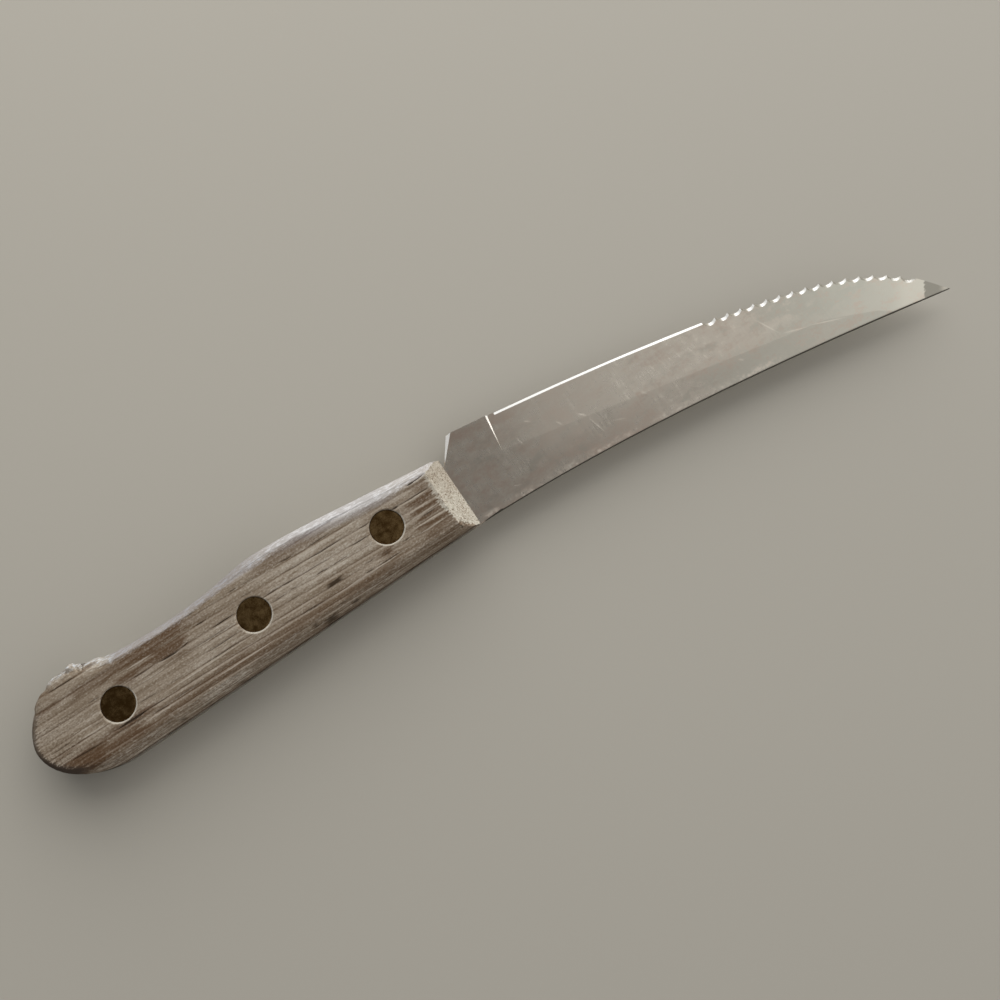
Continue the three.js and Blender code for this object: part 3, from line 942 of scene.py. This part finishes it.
class KNIFE_OT_carve_scales(bpy.types.Operator):
    """Carve the two wooden handle scales"""
    bl_idname = "knife.carve_scales"
    bl_label = "Carve scales"

    def execute(self, context):
        wood = context.scene.knife_wood
        rivets = context.scene.knife_rivets
        material = weathered_wood(wood)
        relief = relief_tree(wood)
        for name, node in (("upper_wood", "upper_scale"), ("lower_wood", "lower_scale")):
            low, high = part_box(node)
            outer, inner = (high.z, low.z) if node == "upper_scale" else (low.z, high.z)
            piece = merged_copy(node, name)
            close_bores(piece, head_radius() + BORE_MARGIN)
            remesh_along_grain(piece, wood)
            apply_modifier(piece, "NODES", node_group=relief)
            drill(piece, rivets, outer, inner)
            smooth(piece, WOOD_SMOOTHING)
            hand_over(piece, node, material)
        return {"FINISHED"}


# Blade

# Scratches: x and y of the start, x and y of the end, half the width, strength
SCRATCHES = (
    (27.4, 3.2, 29.2, -3.6, 0.22, 0.7),
    (25.8, 4.8, 27.8, 2.8, 0.45, 0.6),
    (41.4, 0.8, 42.7, -0.8, 0.45, 0.5),
    (74.3, 0.6, 77.8, -6.8, 0.28, 0.7),
    (77.2, -6.3, 84.4, -8.8, 0.26, 0.5),
    (83.8, -8.3, 94.0, -12.2, 0.28, 0.6),
    (65.3, -5.8, 66.7, -7.0, 0.35, 0.5),
    (46.8, 5.4, 47.5, 2.8, 0.25, 0.4),
    (49.4, 5.8, 50.4, 1.8, 0.28, 0.4),
    (51.6, 5.2, 52.4, 2.0, 0.25, 0.4),
    (53.8, 4.9, 54.6, 1.6, 0.25, 0.4),
    (57.0, 3.8, 57.8, 0.6, 0.25, 0.35),
    (10.4, 8.8, 11.4, 4.6, 0.25, 0.4),
    (14.0, 10.6, 16.0, 9.0, 0.35, 0.4),
    (20.4, 6.2, 21.8, 4.2, 0.30, 0.45),
    (31.0, -1.0, 36.0, -3.2, 0.22, 0.35),
    (3.0, -1.2, 6.5, -2.4, 0.25, 0.3),
)
HAIRLINE_TURN = math.radians(28)

SPINE_START = -4.4
SPINE_BENDS = ((-7.0, -0.035), (10.0, -0.035), (22.0, -0.025), (38.0, -0.025), (55.0, -0.01))

# The dark patch at the point starts where x and y, in these shares, add up to this place
POINT_SHARE_X, POINT_SHARE_Y = 0.83, -0.558
POINT_LINE = 103.2

# Parts of a normal by which faces are told apart, and how far ahead of the handle the grinds may end
SQUARE_ON = 0.9
UPRIGHT = 0.2
SPINEWARD = -0.6
PLUNGE_NEAREST, PLUNGE_FARTHEST = 5 * MM, 30 * MM
SLACK = 0.01 * MM

FLAT_ANGLE = math.radians(0.5)
GRIND_ANGLE = math.radians(2)
STEEL_SMOOTHING = math.radians(20)


def slope_plunges(piece, run):
    """Slides the deep corner at the end of each grind along the edge, so that the step there faces up."""
    clear_picks(piece, "VERT")
    mesh = piece.data
    nearest, farthest = handle_front() + PLUNGE_NEAREST, handle_front() + PLUNGE_FARTHEST
    walls = [
        face for face in mesh.polygons
        if face.normal.x > SQUARE_ON and abs(face.normal.z) < UPRIGHT and nearest < face.center.x < farthest]
    steps = sorted(walls, key=lambda face: face.area)[-2:]
    middle = tang_middle()
    for step in steps:
        corners = [mesh.vertices[i] for i in step.vertices]
        min(corners, key=lambda corner: abs(corner.co.z - middle)).select = True
    forward = steps[0].normal * run
    with edit_mode(piece):
        bpy.ops.transform.translate(value=forward)


def normals_at_edges(mesh):
    """The normals of the faces at each edge."""
    normals = {}
    for face in mesh.polygons:
        for key in face.edge_keys:
            normals.setdefault(key, []).append(face.normal)
    return [(edge, normals[edge.key]) for edge in mesh.edges]


def round_spine(piece, width):
    """Rounds the corners of the spine ahead of the handle."""
    clear_picks(piece, "EDGE")
    mesh = piece.data
    ahead = handle_front() - SLACK
    for edge, normals in normals_at_edges(mesh):
        upright = any(abs(normal.z) < UPRIGHT and normal.y < SPINEWARD for normal in normals)
        level = any(abs(normal.z) > SQUARE_ON for normal in normals)
        visible = all(mesh.vertices[i].co.x > ahead for i in edge.vertices)
        edge.select = upright and level and visible
    with edit_mode(piece):
        bpy.ops.mesh.bevel(offset=width, segments=3, affect="EDGES", clamp_overlap=False)


def sharpen_grind_lines(piece):
    """Marks the shallow lines where grinds meet flats, so that they stay crisp when shaded smooth."""
    clear_picks(piece, "EDGE")
    for edge, normals in normals_at_edges(piece.data):
        level = len(normals) == 2 and all(abs(normal.z) > SQUARE_ON for normal in normals)
        edge.select = level and GRIND_ANGLE < normals[0].angle(normals[1]) < STEEL_SMOOTHING
    with edit_mode(piece):
        bpy.ops.mesh.mark_sharp()


def scratch_mask(x, y, start_x, start_y, end_x, end_y, half_width, strength):
    """A scratch that is widest halfway along."""
    run_x, run_y = end_x - start_x, end_y - start_y
    from_x, from_y = x - start_x, y - start_y
    squared = run_x * run_x + run_y * run_y
    along = from_x * run_x + from_y * run_y
    across = abs(from_x * run_y - from_y * run_x).math("DIVIDE", squared.math("SQRT"))
    from_middle = along.line(0.0, squared, -1.0, 1.0)
    taper = 1.0 - from_middle * from_middle
    inside = taper * half_width - across
    return inside.fade(0.0, half_width) * strength


def satin_steel(steel):
    """Satin steel with smudges and scratches, bright where it is freshly ground, with painted highlight and
    shade on cut faces by the way they turn and painted shade on the spine's face.
    """
    material, nodes = new_material("blade_steel")
    place = object_place(nodes)
    x, y, _ = place.parts()
    facing_x, facing_y, facing_z = surface_normal(nodes)
    cloud = place.noise((14, 6, 6), 5.0, detail=5.0, roughness=0.65) - 0.5
    mottle = place.noise((4, 2.4, 2.4), 9.0, detail=4.0, roughness=0.6) - 0.5
    grit = place.noise((0.8, 0.8, 0.8), 6.0, detail=3.0, roughness=0.7) - 0.5
    streak = place.noise((0.5, 5, 5), 7.0, detail=3.0) - 0.5
    fine = grit + streak
    turned_place = nodes.add(
        "ShaderNodeVectorRotate", {"Vector": place, "Angle": HAIRLINE_TURN}, rotation_type="Z_AXIS")
    hairline = turned_place.noise((9, 0.16, 9), 8.0, detail=1.0).fade(0.7, 0.8)
    scratch = largest_of(scratch_mask, (x, y), SCRATCHES) * (0.6 + grit * 1.2)

    # Films and rubbed places on the flats
    rise = y - bent_line(x, SPINE_START, SPINE_BENDS)
    rag = (cloud + mottle) * 45.0 + fine * 15.0
    ragged_x = x + rag
    ragged_rise = rise + rag * 0.2
    smudged = (cloud + mottle * 0.5 + fine * 0.3).fade(-0.12, 0.3) * x.fade(15.0, 85.0).between(1.0, 0.5)
    dulled = (mottle - cloud * 0.6).fade(0.04, 0.3)
    rubbed = ((cloud + mottle) * -0.5 + fine * 0.6).fade(0.05, 0.35) * x.fade(8.0, 40.0).between(0.4, 1.0)
    filmy = (cloud * 0.7 + (mottle + grit * 0.5)).fade(-0.25, 0.25) * ragged_x.fade(55.0, 0.0)
    clean = ragged_rise.fade(3.0, 9.0) * (x.fade(6.0, 20.0) * ragged_x.fade(58.0, 36.0))
    stale = ragged_rise.fade(8.0, 4.0) * (ragged_x.fade(46.0, 60.0) * ragged_x.fade(88.0, 76.0))
    misted = ragged_rise.fade(3.0, 8.0) * (ragged_x.fade(74.0, 86.0) * ragged_x.fade(103.0, 95.0))
    blotched = (mottle + grit * 0.7).fade(0.0, 0.2) * x.fade(25.0, 75.0)
    scuffed = rise.fade(2.0, 0.6) * (grit + mottle).fade(-0.1, 0.25) * x.fade(84.0, 66.0)
    past_line = x * POINT_SHARE_X + y * POINT_SHARE_Y + (grit + cloud) * 2.0 - POINT_LINE
    burnt = past_line.fade(-0.15, 0.15) * past_line.fade(3.4, 5.6).between(1.0, 0.35)

    # Cut faces, told apart by the way they face. The fresh grind is painted bright as a highlight only where
    # it turns away from the point; faces turned toward the handle get a painted highlight, faces turned
    # toward the point and the spine's face a painted shade
    ahead = x.fade(-7.0, -6.0)
    faces_up = facing_z.fade(0.2, 0.4) * ahead
    edge_turn = x.fade(96.0, 112.0) * 0.25
    toward_point = facing_x - edge_turn
    # The fresh grind, painted bright as a highlight only where it turns away from the point
    cut = (facing_y + edge_turn).fade(0.3, 0.45) * faces_up * toward_point.fade(0.3, 0.12)
    plunge = facing_x.fade(0.4, 0.55) * (faces_up * x.fade(14.0, 12.0))
    # Painted highlight on the upper end of the plunge, darker toward its lower end
    plunge_glint = y.fade(8.0, 14.0).mixed(steel.burnt, steel.ground)
    # Painted highlight on up-facing faces turned toward the handle, such as the heel's facet
    rearward_highlight = facing_x.fade(-0.25, -0.4) * faces_up
    # Painted shade on the spine's face, which turns away from the lamp
    spine_face_shade = facing_y.fade(-0.15, -0.5) * ahead
    # Painted shade on cut faces turned toward the point
    far_wall_shade = toward_point.fade(0.1, 0.3) * (faces_up * x.fade(60.0, 64.0))
    tang = x.fade(-9.0, -10.0)

    metal = coated(steel.satin, (
        (smudged, steel.smudge),
        (dulled * 0.75, steel.dulled),
        (largest(rubbed, hairline) * 0.6, steel.rubbed),
        (filmy * 0.45, steel.film),
        (ragged_x.fade(55.0, 100.0) * 0.55, steel.dulled),
        (ragged_x.fade(78.0, 102.0) * 0.6, steel.pale),
        (clean * 0.5, steel.rubbed),
        (stale * 0.5, steel.dulled),
        (misted * 0.55, steel.dulled),
        (blotched * 0.45, steel.smudge),
        (largest(scuffed * 0.6, scratch), steel.rubbed),
        (past_line.fade(-9.0, -4.0) * 0.2, steel.rubbed),
        (burnt, steel.burnt),
        # Painted shade on cut faces turned toward the point
        (far_wall_shade * 0.75, steel.burnt),
        # Painted highlight and shade on the plunge
        (plunge * 0.9, plunge_glint),
        # Fresh grind and painted highlights
        (largest(cut, rearward_highlight), steel.ground),
        # Painted shade on the spine's face
        (spine_face_shade, steel.scale),
        (tang, steel.tarnish),
    ))
    haze = largest(scratch * 0.8, rubbed * 0.15, scuffed * 0.22) * past_line.fade(0.0, -1.0)
    rough = steel.satin_roughness + (cloud + mottle) * 0.12
    rough = rough + (fine * 0.1 + x.fade(50.0, 85.0) * 0.08)
    rough = cut.between(rough, steel.ground_roughness)
    nodes.feed_shader("Principled BSDF", {
        "Base Color": metal,
        "Metallic": 1.0 - largest(largest(rearward_highlight, tang) * 0.8, haze),
        "Roughness": largest(plunge, spine_face_shade, rearward_highlight).between(rough, steel.dull_roughness),
        "Normal": fine.bump(0.1, 0.01),
    })
    return material


class KNIFE_OT_finish_blade(bpy.types.Operator):
    """Finish the steel blade and its tang"""
    bl_idname = "knife.finish_blade"
    bl_label = "Finish blade"

    def execute(self, context):
        steel = context.scene.knife_steel
        piece = merged_copy("blade_with_tang", "blade")
        with edit_whole(piece):
            bpy.ops.mesh.dissolve_limited(angle_limit=FLAT_ANGLE)
        slope_plunges(piece, steel.plunge_run)
        round_spine(piece, steel.spine_round)
        sharpen_grind_lines(piece)
        smooth(piece, STEEL_SMOOTHING)
        hand_over(piece, "blade_with_tang", satin_steel(steel))
        return {"FINISHED"}


# Rivets

RIVET_PLACES = ("front", "middle", "rear")
RIVET_SMOOTHING = math.radians(30)


def rivet_centre(rivet):
    low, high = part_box(f"{rivet}_rivet_post")
    return (low + high) / 2


def head_radius():
    low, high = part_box("front_rivet_post")
    return (high.x - low.x) / 2


def head_face(outer):
    """Height of the rivet heads at the outer face of a scale."""
    posts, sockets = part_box("front_rivet_post")[1].z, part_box("front_rivet_socket")[0].z
    return posts if abs(outer - posts) < abs(outer - sockets) else sockets


def head_profile(rivets, face, up):
    """Radii and heights of a head, from its underside to the middle of its crown."""
    head = head_radius()
    return (
        (head, face - up * rivets.head_height),
        (head, face - up * rivets.crown - up * rivets.rim),
        (head - rivets.rim, face - up * rivets.crown),
        (head / 2, face - up * rivets.crown / 4),
        (head / 8, face),
    )


def dark_brass(rivets):
    """Brass under a dark, blotchy film, with a painted darker reflection on the rear rivet."""
    material, nodes = new_material("dark_brass")
    place = object_place(nodes)
    blotch = place.noise((1.6, 1.6, 1.6), 8.0, detail=4.0, roughness=0.6)
    grit = place.noise((0.3, 0.3, 0.3), 9.0, detail=3.0, roughness=0.7)
    # The film's blotches, and a painted darker reflection toward the rear rivet
    film_and_reflection = blotch * 0.7 + grit * 0.5 - place.parts()[0].fade(-70.0, -95.0) * 0.06
    nodes.feed_shader("Principled BSDF", {
        "Base Color": film_and_reflection.fade(0.45, 0.8).mixed(rivets.deep, rivets.patina),
        "Metallic": 1.0,
        "Roughness": grit.line(0.2, 0.8, 0.52, 0.4),
        "Normal": grit.bump(0.3, 0.03),
    })
    return material


class KNIFE_OT_turn_rivets(bpy.types.Operator):
    """Turn the posts and sockets of the three rivets"""
    bl_idname = "knife.turn_rivets"
    bl_label = "Turn rivets"

    def execute(self, context):
        rivets = context.scene.knife_rivets
        material = dark_brass(rivets)
        pin = rivets.pin_diameter / 2
        tube = rivets.tube_diameter / 2
        bore = pin + rivets.pin_clearance
        pin_end, face = (corner.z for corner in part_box("front_rivet_post"))
        under, tube_end = (corner.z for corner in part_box("front_rivet_socket"))
        profiles = {
            "post": (
                (pin, pin_end),
                (pin, face - rivets.head_height),
                *head_profile(rivets, face, 1),
            ),
            "socket": (
                *reversed(head_profile(rivets, under, -1)),
                (tube, under + rivets.head_height),
                (tube, tube_end),
                (bore, tube_end),
                (bore, under + rivets.bore_floor),
            ),
        }
        first, *others = RIVET_PLACES
        for half, profile in profiles.items():
            model = turned(f"{first}_{half}", rivet_centre(first), profile)
            smooth(model, RIVET_SMOOTHING)
            pieces = {first: model}
            for rivet in others:
                pieces[rivet] = copied(model, f"{rivet}_{half}", rivet_centre(rivet) - rivet_centre(first))
            for rivet, piece in pieces.items():
                hand_over(piece, f"{rivet}_rivet_{half}", material)
        return {"FINISHED"}


# Stage

SKY_BRIGHT_SIDE = (0.78, 0.2, 0.0)
NEAR_CLIP = 0.01


def pale_floor(stage):
    material, nodes = new_material("pale_floor")
    nodes.feed_shader("Principled BSDF", {
        "Base Color": (*stage.floor, 1.0), "Roughness": 0.6, "Specular IOR Level": 0.3})
    return material


def soft_sky(stage):
    """A dim sky that brightens toward the point and the edge side."""
    world = bpy.data.worlds.new("soft_sky")
    world.use_nodes = True
    nodes = Nodes(world.node_tree)
    direction = nodes.add("ShaderNodeTexCoord", out="Generated")
    toward = direction.vector_math("DOT_PRODUCT", SKY_BRIGHT_SIDE, out="Value")
    rise = largest(toward + 0.3, 0.0).math("POWER", 3.0) * stage.sky_rise
    across = direction.parts()[1]
    fill = across.fade(-0.1, -0.6) * stage.sky_fill
    rim = across.fade(0.7, 0.95) * stage.sky_rim
    level = rise + stage.sky_dim + (fill + rim)
    nodes.feed_shader("Background", {"Color": (1.0, 1.0, 1.0, 1.0), "Strength": level})
    return world


class KNIFE_OT_set_stage(bpy.types.Operator):
    """Set up the floor, the light and the camera"""
    bl_idname = "knife.set_stage"
    bl_label = "Set stage"

    def execute(self, context):
        scene = context.scene
        stage = scene.knife_stage
        bpy.ops.object.select_all(action="DESELECT")
        bpy.ops.mesh.primitive_plane_add(size=stage.floor_size, location=(0, 0, 0))
        floor = context.active_object
        floor.name = "floor"
        floor.data.materials.append(pale_floor(stage))

        scene.world = soft_sky(stage)
        bpy.ops.object.light_add(type="AREA", location=stage.lamp_place)
        lamp = context.active_object
        lamp.name = "soft_lamp"
        lamp.rotation_euler = (-stage.lamp_place).to_track_quat("-Z", "Y").to_euler()
        lamp.data.energy = stage.lamp_power
        lamp.data.shape = "SQUARE"
        lamp.data.size = stage.lamp_size
        lamp.visible_glossy = False

        bpy.ops.object.camera_add(
            location=stage.camera_place, rotation=(stage.camera_tilt, 0, stage.camera_turn))
        camera = context.active_object
        camera.name = "camera"
        camera.data.lens = stage.focal_length
        camera.data.clip_start = NEAR_CLIP
        scene.camera = camera
        scene.view_settings.view_transform = "Standard"
        return {"FINISHED"}


class KNIFE_PT_sidebar(bpy.types.Panel):
    """Lists the steps and the settings of the knife"""
    bl_idname = "KNIFE_PT_sidebar"
    bl_label = "Weathered steak knife"
    bl_space_type = "VIEW_3D"
    bl_region_type = "UI"
    bl_category = "Knife"

    def draw(self, context):
        for operator in OPERATORS:
            self.layout.operator(operator.bl_idname)
        for group in SETTINGS:
            box = self.layout.box()
            settings = getattr(context.scene, group)
            for name in settings.bl_rna.properties.keys():
                if name not in ("rna_type", "name"):
                    box.prop(settings, name)


SETTINGS = {
    "knife_wood": KnifeWoodSettings,
    "knife_steel": KnifeSteelSettings,
    "knife_rivets": KnifeRivetSettings,
    "knife_stage": KnifeStageSettings,
}
OPERATORS = (KNIFE_OT_set_stage, KNIFE_OT_finish_blade, KNIFE_OT_carve_scales, KNIFE_OT_turn_rivets)
CLASSES = (*SETTINGS.values(), *OPERATORS, KNIFE_PT_sidebar)


def register():
    for cls in CLASSES:
        bpy.utils.register_class(cls)
    for group, cls in SETTINGS.items():
        setattr(bpy.types.Scene, group, PointerProperty(type=cls))


def unregister():
    for group in SETTINGS:
        delattr(bpy.types.Scene, group)
    for cls in reversed(CLASSES):
        bpy.utils.unregister_class(cls)


def main():
    register()
    bpy.ops.knife.set_stage()
    bpy.ops.knife.finish_blade()
    bpy.ops.knife.carve_scales()
    bpy.ops.knife.turn_rivets()


if __name__ == "__main__":
    main()
